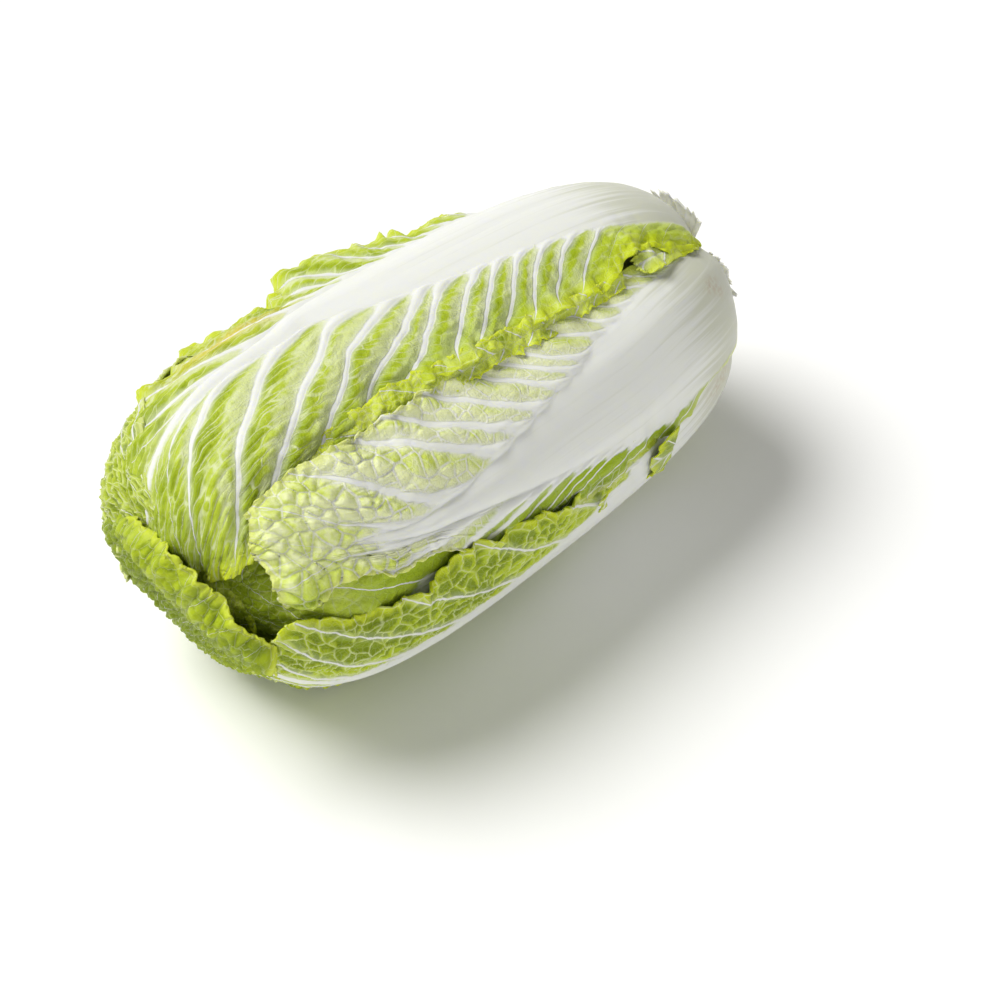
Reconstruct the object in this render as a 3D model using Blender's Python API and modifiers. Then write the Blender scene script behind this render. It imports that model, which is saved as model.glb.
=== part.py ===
"""Napa cabbage: a whole head lying on its side, built leaf by leaf.

Run it with: blender --background --python part.py
Units are metres, with +Z up. The head lies along X, with its cut stump towards +X and its leaf tips
towards -X. It rests on z = 0, where its underside is pressed flat, and the origin is under its middle.

The leaves stand on nested barrels. A barrel is given by its inset, the depth of its surface below
the head's own surface at the widest section. In a ring of leaves, the near side of each leaf lies on
the ring's outer barrel, over the far side of the leaf before it, which is tucked one step deeper.
Angles run round the head's axis from straight up (0 degrees) over the front, -Y (90 degrees).
"""

import math

import bmesh
import bpy
from mathutils import Vector

# The head's outer barrel
HEAD_LENGTH = 0.290
HEAD_RADIUS = 0.075
WAIST_SHARE = 0.66  # where along the length, from the stump, the head is widest
BASE_POWER = 4.4  # superellipse powers: how square the stump end and the tip end are
TIP_POWER = 3.2
BASE_TAPER = 0.13
AXIS_HEIGHT = 0.070  # under HEAD_RADIUS, so the underside is flat where it is pressed down
AXIAL_INSET = 0.6  # how fast nested barrels get shorter, beside how fast they get thinner
CURVE_STEPS = 400

STUMP_X = HEAD_LENGTH / 2
WAIST_X = STUMP_X - WAIST_SHARE * HEAD_LENGTH
BASE_LENGTH = STUMP_X - WAIST_X
TIP_LENGTH = HEAD_LENGTH - BASE_LENGTH

# The stump and core
STEM_RADIUS = 0.022
CORE_END_RADIUS = 0.007
CORE_END_INSET = 0.050
STEM_CLEARANCE = 0.0015
CUT_PROUD = 0.003  # how far the cut face stands out past the leaf bases
BUD_RADIUS = 0.012
BUD_LENGTH = 0.045
TURN_STEPS = 24

# Leaf shape, as shares of the leaf's own length
BASE_SPAN = 43.0  # degrees to each side of the midrib where a leaf leaves the stem
SPREAD_END = 0.45  # where the leaf reaches its full span
TIP_START = 0.76  # where the outline starts to round in to the tip
TIP_WIDTH = 0.60
TIP_ROUND = 0.07
PETIOLE_HALF = 30.0  # degrees
PETIOLE_END = 0.75
TUCK_FROM = -4.0  # degrees past the midrib where a leaf starts to tuck under the next one
TUCK_TO = 16.0

# Rings from the outside in: (inset, step, petiole thickness, blade share of that, grid across, grid along)
RINGS = [
    (0.0000, 0.0065, 0.0046, 0.40, 12, 16),
    (0.0130, 0.0055, 0.0036, 0.45, 9, 11),
    (0.0240, 0.0045, 0.0028, 0.50, 7, 9),
    (0.0330, 0.0040, 0.0024, 0.55, 6, 8),
    (0.0410, 0.0035, 0.0020, 0.60, 6, 7),
]

# The outer wrapper leaves: (name, midrib angle, near span, far span, tip share, flare of the near margin)
WRAPPERS = [
    ("back_upper", -28.0, 60.0, 72.0, 0.85, 0.008),
    ("front_middle", 64.0, 37.0, 58.0, 0.78, 0.0),
    ("front_lower", 130.0, 42.0, 60.0, 0.81, 0.004),
    ("underside", 200.0, 50.0, 60.0, 0.90, 0.0),
    ("back_lower", 262.0, 44.0, 68.0, 0.93, 0.0),
]
LEAVES_PER_RING = 5
INNER_NEAR_SPAN = 46.0
INNER_FAR_SPAN = 64.0
INNER_RING_TURN = 137.5  # degrees from one ring's first leaf to the next ring's
INNER_RING_FIRST = -60.0
INNER_TIP_SHARES = [0.90, 0.92, 0.93, 0.94]

# Stubs of leaves that were trimmed off: (midrib angle, half span in degrees, length as a share)
STUBS = [(-14.0, 33.0, 0.046), (62.0, 26.0, 0.034), (150.0, 30.0, 0.030), (238.0, 36.0, 0.038)]
STUB_INSET = -0.0030  # outside the outermost barrel
STUB_THICKNESS = 0.0014
STUB_GRID = (7, 4)

MARGIN_POWER = 2.5

# Colours: (red, green, blue, roughness)
COLOURS = {
    "wrapper": (0.50, 0.60, 0.16, 0.45),
    "inner": (0.66, 0.70, 0.26, 0.45),
    "stem": (0.80, 0.79, 0.66, 0.55),
    "stub": (0.78, 0.79, 0.70, 0.50),
}


def clear_scene():
    for thing in list(bpy.data.objects):
        bpy.data.objects.remove(thing, do_unlink=True)


def make_collection(name):
    collection = bpy.data.collections.new(name)
    bpy.context.scene.collection.children.link(collection)
    return collection


def make_material(name, colour):
    red, green, blue, roughness = COLOURS[colour]
    material = bpy.data.materials.new(name)
    material.use_nodes = True
    shader = material.node_tree.nodes["Principled BSDF"]
    shader.inputs["Base Color"].default_value = (red, green, blue, 1.0)
    shader.inputs["Roughness"].default_value = roughness
    shader.inputs["Metallic"].default_value = 0.0
    return material


def smooth(low, high, value):
    share = min(1.0, max(0.0, (value - low) / (high - low)))
    return share * share * (3.0 - 2.0 * share)


def barrel_point(turn):
    """(x, radius) on the outer barrel, from the stump's pole at turn 0 to the tip's pole at pi."""
    cosine, sine = math.cos(turn), max(0.0, math.sin(turn))
    if cosine > 0.0:
        along = cosine ** (2.0 / BASE_POWER)
        radius = HEAD_RADIUS * sine ** (2.0 / BASE_POWER) * (1.0 - BASE_TAPER * along)
        return WAIST_X + BASE_LENGTH * along, radius
    along = (-cosine) ** (2.0 / TIP_POWER)
    return WAIST_X - TIP_LENGTH * along, HEAD_RADIUS * sine ** (2.0 / TIP_POWER)


def barrel_table():
    """The outer barrel's outline as (share of its length, x, radius)."""
    points = [barrel_point(math.pi * i / CURVE_STEPS) for i in range(CURVE_STEPS + 1)]
    lengths = [0.0]
    for before, after in zip(points, points[1:]):
        lengths.append(lengths[-1] + math.dist(before, after))
    return [(length / lengths[-1], *point) for length, point in zip(lengths, points)]


BARREL = barrel_table()


def barrel_at(share):
    """(x, radius) on the outer barrel at a share of its outline's length."""
    for before, after in zip(BARREL, BARREL[1:]):
        if share <= after[0]:
            part = (share - before[0]) / (after[0] - before[0])
            return tuple(a + part * (b - a) for a, b in zip(before[1:], after[1:]))
    return BARREL[-1][1:]


def nested(share, inset):
    """(x, radius, scale) of the barrel at that inset, at the same share as on the outer one."""
    x, radius = barrel_at(share)
    scale = 1.0 - inset / HEAD_RADIUS
    axial = 1.0 - AXIAL_INSET * inset / HEAD_RADIUS
    return WAIST_X + axial * (x - WAIST_X), scale * radius, scale


def place(angle, x, radius, scale):
    """A point in the row frame. The flat underside shrinks with the barrel, so barrels never cross."""
    turn = math.radians(angle)
    height = max(radius * math.cos(turn), -AXIS_HEIGHT * scale)
    return x, -radius * math.sin(turn), AXIS_HEIGHT + height


def core_radius(inset):
    share = min(1.0, max(0.0, inset / CORE_END_INSET))
    return STEM_RADIUS + share * (CORE_END_RADIUS - STEM_RADIUS)


def start_share(inset):
    """Where along the outline a leaf at that inset has just cleared the core."""
    wanted = core_radius(inset) + STEM_CLEARANCE
    scale = 1.0 - inset / HEAD_RADIUS
    return next(share for share, _, radius in BARREL if scale * radius >= wanted)


def leaf_surface(u, v, leaf):
    """A leaf's outer surface at u, from its near margin at -1 to its far margin at 1, and v, base to tip."""
    side = leaf["far"] if u > 0 else leaf["near"]
    spread = smooth(0.0, SPREAD_END, v)
    span = BASE_SPAN + (side - BASE_SPAN) * spread
    span *= 1.0 - (1.0 - TIP_WIDTH) * smooth(TIP_START, 1.0, v)
    bearing = u * span
    share_along = v - TIP_ROUND * u * u * smooth(TIP_START, 1.0, v)
    share = leaf["start"] + share_along * (leaf["end"] - leaf["start"])
    inset = leaf["inset"] + leaf["step"] * smooth(TUCK_FROM, TUCK_TO, bearing)
    if u < 0:
        inset -= leaf["flare"] * (-u) ** MARGIN_POWER * spread
    return place(leaf["angle"] + bearing, *nested(share, inset))


def petiole_weight(u, v, leaf):
    """1 in the thick petiole, falling to 0 in the blade."""
    side = leaf["far"] if u > 0 else leaf["near"]
    bearing = abs(u) * (BASE_SPAN + (side - BASE_SPAN) * smooth(0.0, SPREAD_END, v))
    half = PETIOLE_HALF * (1.0 - v / PETIOLE_END)
    return 1.0 - smooth(half, half + PETIOLE_HALF, bearing)


def shell_from_grid(name, grid, surface, weight, thickness, thin_share, colour, collection):
    """A closed shell: a grid bent onto surface(u, v), then thickened towards the head's axis."""
    mesh = bpy.data.meshes.new(name)
    net = bmesh.new()
    bmesh.ops.create_grid(net, x_segments=grid[0], y_segments=grid[1], size=1.0)
    places = [(vertex.co.x, (vertex.co.y + 1.0) / 2.0) for vertex in net.verts]
    for vertex, (u, v) in zip(net.verts, places):
        vertex.co = surface(u, v)
    bmesh.ops.reverse_faces(net, faces=net.faces)
    net.to_mesh(mesh)
    net.free()
    mesh.shade_smooth()
    mesh.materials.append(make_material(name, colour))
    shell = bpy.data.objects.new(name, mesh)
    collection.objects.link(shell)
    group = shell.vertex_groups.new(name="petiole")
    for index, (u, v) in enumerate(places):
        group.add([index], weight(u, v), "REPLACE")
    solidify = shell.modifiers.new("Thickness", "SOLIDIFY")
    solidify.thickness = thickness
    solidify.offset = -1.0
    solidify.vertex_group = group.name
    solidify.thickness_vertex_group = thin_share
    return shell


def make_leaf(name, ring, angle, near, far, tip, flare, colour, collection):
    inset, step, thickness, thin_share, across, along = RINGS[ring]
    leaf = {
        "angle": angle,
        "near": near,
        "far": far,
        "inset": inset,
        "step": step,
        "flare": flare,
        "start": start_share(inset),
        "end": tip,
    }
    shell_from_grid(
        name,
        (across, along),
        lambda u, v: leaf_surface(u, v, leaf),
        lambda u, v: petiole_weight(u, v, leaf),
        thickness,
        thin_share,
        colour,
        collection,
    )


def make_wrappers(collection):
    for name, angle, near, far, tip, flare in WRAPPERS:
        make_leaf("wrapper_leaf_" + name, 0, angle, near, far, tip, flare, "wrapper", collection)


def make_inner_leaves(collection):
    pitch = 360.0 / LEAVES_PER_RING
    for ring, tip in enumerate(INNER_TIP_SHARES, start=1):
        first = INNER_RING_FIRST + (ring - 1) * INNER_RING_TURN
        for number in range(LEAVES_PER_RING):
            make_leaf(
                f"inner_leaf_{ring}_{number + 1}",
                ring,
                first + number * pitch,
                INNER_NEAR_SPAN,
                INNER_FAR_SPAN,
                tip,
                0.0,
                "inner",
                collection,
            )


def make_stubs(collection):
    start = start_share(STUB_INSET)
    for number, (angle, half, length) in enumerate(STUBS, start=1):

        def surface(u, v, angle=angle, half=half, length=length):
            share = start + v * length * (1.0 - 0.4 * u * u)
            return place(angle + u * half, *nested(share, STUB_INSET))

        shell_from_grid(
            f"trimmed_leaf_base_{number}",
            STUB_GRID,
            surface,
            lambda u, v: 1.0,
            STUB_THICKNESS,
            1.0,
            "stub",
            collection,
        )


def make_turned(name, outline, colour, collection):
    """A solid turned round the head's axis, from (x, radius) points that run from the stump inwards."""
    mesh = bpy.data.meshes.new(name)
    mesh.from_pydata(
        [(radius, 0.0, x) for x, radius in outline],
        [(i, i + 1) for i in range(len(outline) - 1)],
        [],
    )
    mesh.materials.append(make_material(name, colour))
    turned = bpy.data.objects.new(name, mesh)
    collection.objects.link(turned)
    turned.location = (0.0, 0.0, AXIS_HEIGHT)
    turned.rotation_euler = (0.0, math.radians(90.0), 0.0)
    screw = turned.modifiers.new("Turn", "SCREW")
    screw.steps = TURN_STEPS
    screw.render_steps = TURN_STEPS
    screw.use_merge_vertices = True
    screw.merge_threshold = 0.00005
    return turned


def core_outline():
    """The cut face, then the core narrowing inwards, always inside the leaf bases round it."""
    cut_x = STUMP_X + CUT_PROUD
    outline = [(cut_x, 0.0), (cut_x, STEM_RADIUS * 0.94), (cut_x - 0.001, STEM_RADIUS)]
    outline.append((STUMP_X - 0.002, STEM_RADIUS))
    steps = 6
    for i in range(1, steps + 1):
        inset = CORE_END_INSET * i / steps
        axial = 1.0 - AXIAL_INSET * inset / HEAD_RADIUS
        outline.append((WAIST_X + axial * BASE_LENGTH, core_radius(inset)))
    outline.append((outline[-1][0] - CORE_END_RADIUS, 0.0))
    return outline


def bud_outline(core_tip_x):
    """A slim egg on the end of the core, a hair clear of it."""
    start_x = core_tip_x - 0.0005
    steps = 8
    outline = []
    for i in range(steps + 1):
        turn = math.pi * i / steps
        outline.append(
            (start_x - BUD_LENGTH * (1.0 - math.cos(turn)) / 2.0, BUD_RADIUS * math.sin(turn))
        )
    outline[0] = (start_x, 0.0)
    outline[-1] = (outline[-1][0], 0.0)
    return outline


def make_core(collection):
    core = core_outline()
    make_turned("core_stem", core, "stem", collection)
    make_turned("heart_bud", bud_outline(core[-1][0]), "inner", collection)


def centre_on_origin(collection):
    """Moves the whole head along X and Y, so that the origin is under the middle of its box."""
    bpy.context.view_layer.update()
    graph = bpy.context.evaluated_depsgraph_get()
    corners = [
        thing.matrix_world @ Vector(corner)
        for thing in collection.objects
        for corner in thing.evaluated_get(graph).bound_box
    ]
    for axis in (0, 1):
        low = min(corner[axis] for corner in corners)
        high = max(corner[axis] for corner in corners)
        for thing in collection.objects:
            thing.location[axis] -= (low + high) / 2.0


def main():
    clear_scene()
    collection = make_collection("napa_cabbage")
    make_wrappers(collection)
    make_inner_leaves(collection)
    make_stubs(collection)
    make_core(collection)
    centre_on_origin(collection)


main()
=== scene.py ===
"""Napa cabbage, a whole head lying on its side: the looks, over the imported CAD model.

Every leaf is a fine closed shell bent over the head's barrel. Along a leaf runs arc, in millimetres
along the barrel's outline from the stump's pole. Round the head runs theta, in degrees from straight
up over the front. A leaf's own coordinates are p, across its midrib, and q, along it, both in
millimetres, and its ribs, laterals and net of small veins are drawn from those alone, once in the
mesh as relief and once in the material as colour, so that the two agree.
"""

import math

import bpy
import numpy as np
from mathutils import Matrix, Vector


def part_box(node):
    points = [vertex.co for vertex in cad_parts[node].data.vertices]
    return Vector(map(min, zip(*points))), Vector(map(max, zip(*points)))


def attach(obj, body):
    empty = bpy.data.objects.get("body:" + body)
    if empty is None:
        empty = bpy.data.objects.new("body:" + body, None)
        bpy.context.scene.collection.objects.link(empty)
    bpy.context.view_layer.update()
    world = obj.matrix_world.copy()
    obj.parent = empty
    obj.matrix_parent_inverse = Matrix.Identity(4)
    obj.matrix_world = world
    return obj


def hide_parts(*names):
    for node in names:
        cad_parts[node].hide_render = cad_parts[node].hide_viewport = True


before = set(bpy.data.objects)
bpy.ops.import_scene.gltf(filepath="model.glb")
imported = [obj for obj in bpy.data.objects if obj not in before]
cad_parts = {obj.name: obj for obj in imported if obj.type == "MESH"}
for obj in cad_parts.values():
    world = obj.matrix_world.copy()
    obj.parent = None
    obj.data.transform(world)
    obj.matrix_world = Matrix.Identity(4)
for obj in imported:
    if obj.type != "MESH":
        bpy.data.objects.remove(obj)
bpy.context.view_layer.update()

# ---------------------------------------------------------------- the barrel, as in the CAD, in mm
HEAD_LENGTH = 290.0
HEAD_RADIUS = 75.0
WAIST_SHARE = 0.66
BASE_POWER = 4.4
TIP_POWER = 3.2
BASE_TAPER = 0.13
AXIS_HEIGHT = 70.0
AXIAL_INSET = 0.6
STUMP_X = HEAD_LENGTH / 2
WAIST_X = STUMP_X - WAIST_SHARE * HEAD_LENGTH
BASE_LENGTH = STUMP_X - WAIST_X
TIP_LENGTH = HEAD_LENGTH - BASE_LENGTH
CUT_PROUD = 3.0

core_low, core_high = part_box("core_stem")
SHIFT_X = core_high[0] * 1000.0 - (STUMP_X + CUT_PROUD)
SHIFT_Y = (core_low[1] + core_high[1]) * 500.0


def barrel_outline():
    turn = np.linspace(0.0, math.pi, 4001)
    cosine, sine = np.cos(turn), np.maximum(0.0, np.sin(turn))
    lean = np.abs(cosine)
    base = cosine > 0.0
    along = np.where(base, lean ** (2.0 / BASE_POWER), lean ** (2.0 / TIP_POWER))
    x = np.where(base, WAIST_X + BASE_LENGTH * along, WAIST_X - TIP_LENGTH * along)
    full = np.where(base, sine ** (2.0 / BASE_POWER), sine ** (2.0 / TIP_POWER))
    radius = HEAD_RADIUS * full * np.where(base, 1.0 - BASE_TAPER * along, 1.0)
    steps = np.hypot(np.diff(x), np.diff(radius))
    return np.concatenate([[0.0], np.cumsum(steps)]), x, radius


ARC, ARC_X, ARC_R = barrel_outline()


def place(theta, arc, inset):
    """Points on the barrel nested at that inset, as an array of (x, y, z) in mm."""
    x = np.interp(arc, ARC, ARC_X)
    radius = np.interp(arc, ARC, ARC_R)
    scale = 1.0 - inset / HEAD_RADIUS
    axial = 1.0 - AXIAL_INSET * inset / HEAD_RADIUS
    turn = np.radians(theta)
    floor = -AXIS_HEIGHT * np.minimum(scale, 1.0)
    height = np.maximum(scale * radius * np.cos(turn), floor)
    return np.stack(
        [
            WAIST_X + axial * (x - WAIST_X) + SHIFT_X,
            -scale * radius * np.sin(turn) + SHIFT_Y,
            AXIS_HEIGHT + height,
        ],
        axis=-1,
    )


# ---------------------------------------------------------------- small maths
def curve(points, at):
    """A smooth curve through (position, value) points, flat beyond its ends."""
    if not isinstance(points, (list, tuple)):
        return np.full(np.shape(at), float(points))
    spots = np.array([p[0] for p in points], float)
    values = np.array([p[1] for p in points], float)
    if len(spots) == 1:
        return np.full(np.shape(at), values[0])
    slopes = np.zeros(len(spots))
    secants = np.diff(values) / np.diff(spots)
    for i in range(1, len(spots) - 1):
        a, b = secants[i - 1], secants[i]
        slopes[i] = 0.0 if a * b <= 0.0 else 2.0 * a * b / (a + b)
    at = np.clip(at, spots[0], spots[-1])
    i = np.clip(np.searchsorted(spots, at, side="right") - 1, 0, len(spots) - 2)
    width = spots[i + 1] - spots[i]
    t = (at - spots[i]) / width
    return (
        values[i] * (1 + 2 * t) * (1 - t) ** 2
        + slopes[i] * width * t * (1 - t) ** 2
        + values[i + 1] * t * t * (3 - 2 * t)
        + slopes[i + 1] * width * t * t * (t - 1)
    )


def smooth(low, high, value):
    t = np.clip((value - low) / (high - low), 0.0, 1.0)
    return t * t * (3.0 - 2.0 * t)


def noise(x, y, seed):
    """Smooth value noise from -1 to 1, with features about one unit across."""
    table = np.random.RandomState(seed).uniform(-1.0, 1.0, (64, 64))
    x, y = np.broadcast_arrays(np.asarray(x, float), np.asarray(y, float))
    cell_x, cell_y = np.floor(x), np.floor(y)
    tx, ty = x - cell_x, y - cell_y
    tx, ty = tx * tx * (3 - 2 * tx), ty * ty * (3 - 2 * ty)
    i, j = cell_x.astype(int) % 64, cell_y.astype(int) % 64
    i2, j2 = (i + 1) % 64, (j + 1) % 64
    low = table[j, i] * (1 - tx) + table[j, i2] * tx
    high = table[j2, i] * (1 - tx) + table[j2, i2] * tx
    return low * (1 - ty) + high * ty


def teeth(along, seed, sizes):
    """A torn, scalloped outline from (length of a lobe, depth) pairs in mm, about 0."""
    total = np.zeros(np.shape(along))
    for i, (length, depth) in enumerate(sizes):
        total += depth * (np.abs(noise(along / length, 3.1 + 0.0 * along, seed + i)) - 0.35)
    return total


MASK = 0xFFFFFFFF


def hash_of(count, *parts):
    """The hash that Blender's Voronoi texture takes its points from, so that relief and colour match."""
    base = np.uint64((0xDEADBEEF + (count << 2) + 13) & MASK)
    low = np.uint64(MASK)

    def turned(value, by):
        return ((value << np.uint64(by)) & low) | (value >> np.uint64(32 - by))

    words = [(np.asarray(p, np.float32) + np.float32(0)).view(np.uint32).astype(np.uint64) for p in parts]
    a = (base + words[0]) & low
    b = (base + words[1]) & low
    c = (base + words[2]) & low if count == 3 else np.full_like(a, base)
    for one, two, by in (("c", "b", 14), ("a", "c", 11), ("b", "a", 25), ("c", "b", 16), ("a", "c", 4), ("b", "a", 14), ("c", "b", 24)):
        held = {"a": a, "b": b, "c": c}
        value = ((held[one] ^ held[two]) - turned(held[two], by)) & low
        if one == "a":
            a = value
        elif one == "b":
            b = value
        else:
            c = value
    return c / float(MASK)


def cell_edges(x, y, randomness):
    """Distance to the nearest edge between cells, as the Voronoi texture's Distance to Edge gives it in 2D."""
    cell_x, cell_y = np.floor(x), np.floor(y)
    spots = []
    for j in (-1, 0, 1):
        for i in (-1, 0, 1):
            cx, cy = cell_x + i, cell_y + j
            ones = np.ones_like(cx)
            to_x = i + hash_of(2, cx, cy) * randomness - (x - cell_x)
            to_y = j + hash_of(3, cx, cy, ones) * randomness - (y - cell_y)
            spots.append((to_x, to_y))
    reach = np.stack([sx * sx + sy * sy for sx, sy in spots])
    nearest = reach.argmin(axis=0)
    near_x = np.choose(nearest, [s[0] for s in spots])
    near_y = np.choose(nearest, [s[1] for s in spots])
    edge = np.full(np.shape(x), 9.0)
    for sx, sy in spots:
        dx, dy = sx - near_x, sy - near_y
        length = np.sqrt(np.maximum(dx * dx + dy * dy, 1e-12))
        gap = ((near_x + sx) / 2 * dx + (near_y + sy) / 2 * dy) / length
        edge = np.where(length > 1e-2, np.minimum(edge, gap), edge)
    return edge


NET_RANDOMNESS = 0.9

# ---------------------------------------------------------------- leaves
DEFAULTS = {
    "grid": (80, 100),
    "start": 24.0,
    "end": [(-1, 320), (0, 340), (1, 320)],
    "level": 0.0,
    "lift": 0.0,
    "near_tuck": 0.0,
    "far_tuck": 0.0,
    "near_from": 15.0,
    "near_to": 35.0,
    "far_from": -4.0,
    "far_to": 16.0,
    "over_pole": None,
    "rib": [(30, 36), (64, 32), (96, 28), (130, 21), (160, 15), (200, 9), (240, 5.5), (280, 3.4), (320, 2.2), (350, 1.5)],
    "rib_height": [(30, 0.4), (120, 1.2), (220, 2.0), (300, 1.6), (350, 1.0)],
    "web": [(90, 0.0), (110, 3.5), (240, 4.5), (270, 2.0), (300, 0.0)],
    "starts": [40, 56, 72, 86, 99, 112, 124, 138, 152, 168, 184, 204, 232, 262, 292, 318],
    "near_shift": 5.0,
    "near_veins": 1.0,
    "far_veins": 1.0,
    "far_slant": 1.0,
    "spread": [(95, 0.75), (154, 0.85), (193, 1.0), (209, 1.25), (235, 1.3), (267, 1.6), (320, 1.4)],
    "merge": [(154, 5.0), (209, 5.0), (235, 14.0), (267, 14.0)],
    "bend": [(154, 0.0), (193, 0.006), (209, 0.006), (235, 0.0)],
    "lateral": [(40, 0.6), (121, 0.9), (154, 0.95), (170, 1.2), (193, 1.5), (209, 1.8), (235, 1.7), (267, 1.3), (300, 0.9), (340, 0.6)],
    "fade": [(300, 1.0), (345, 0.35)],
    "vein_stop": 0.5,
    "square_net": False,
    "cell": 6.0,
    "cells_across": 2.4,
    "net": [(60, 0.15), (180, 0.3), (260, 0.7), (340, 1.0)],
    "blister": [(60, 0.05), (130, 0.15), (200, 0.35), (260, 0.7), (340, 1.1)],
    "blister_sign": 1.0,
    "dome": 0.25,
    "pillow": [(60, 0.3), (200, 0.7)],
    "deepening": [],
    "wrinkle": [(60, 0.1), (150, 0.3), (260, 0.6), (340, 0.7)],
    "crumple": 0.9,
    "ruffle_near": 1.0,
    "ruffle_far": 1.0,
    "ruffle_tip": 1.0,
    "roll_near": 0.0,
    "roll_far": 0.0,
    "roll_tip": 0.0,
    "teeth_near": 1.0,
    "teeth_far": 1.0,
    "teeth": [(15.0, 3.2), (6.0, 1.8), (2.6, 1.0)],
    "petiole": 4.2,
    "blade": 0.8,
    "tone": 0.5,
    "far_painted_shade": 0.0,
    "dents": [],
    "blemishes": [],
    "yellowing": [],
    "seed": 1,
}


def lateral_phase(leaf, q, rho, side):
    """Numbers the laterals: a whole number on each, and in between the share of the way to the next."""
    starts = np.array(leaf["starts"], float)
    slant = leaf["far_slant"] if side > 0 else 1.0
    if side < 0:
        starts = starts + leaf["near_shift"]
    start = q - rho
    reach = np.maximum(rho, 0.0)
    for _ in range(14):
        run = slant * curve(leaf["spread"], start) * reach
        run = run + curve(leaf["merge"], start) * (1.0 - np.exp(-reach / 5.0))
        run = run + curve(leaf["bend"], start) * reach**2
        start = 0.5 * start + 0.5 * (q - run)
    numbers = np.arange(len(starts))
    low, high = starts[1] - starts[0], starts[-1] - starts[-2]
    phase = np.interp(start, starts, numbers)
    phase = np.where(start < starts[0], (start - starts[0]) / low, phase)
    phase = np.where(start > starts[-1], len(starts) - 1 + (start - starts[-1]) / high, phase)
    return phase, start


def spots(marks, theta, arc):
    """Adds up soft round marks, each given as (theta, arc, half width, half length, strength)."""
    total = np.zeros(np.shape(theta))
    for at_theta, at_arc, wide, long, strength in marks:
        total += strength * np.exp(-(((theta - at_theta) / wide) ** 2) - ((arc - at_arc) / long) ** 2)
    return total


def bent(leaf, theta, arc, inset, p):
    """The leaf's points on the barrel. A leaf that closes the head runs straight on over its pole."""
    around = place(theta, arc, inset)
    if leaf["over_pole"] is None:
        return around
    middle, sideways = leaf["over_pole"]
    to_pole = ARC[-1] - arc
    aside = p + curve(sideways, arc)
    reach = np.hypot(to_pole, aside)
    over = place(middle + np.degrees(np.arctan2(aside, to_pole)), ARC[-1] - reach, inset)
    share = smooth(285.0, 330.0, arc)[..., None]
    return around * (1.0 - share) + over * share


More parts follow.
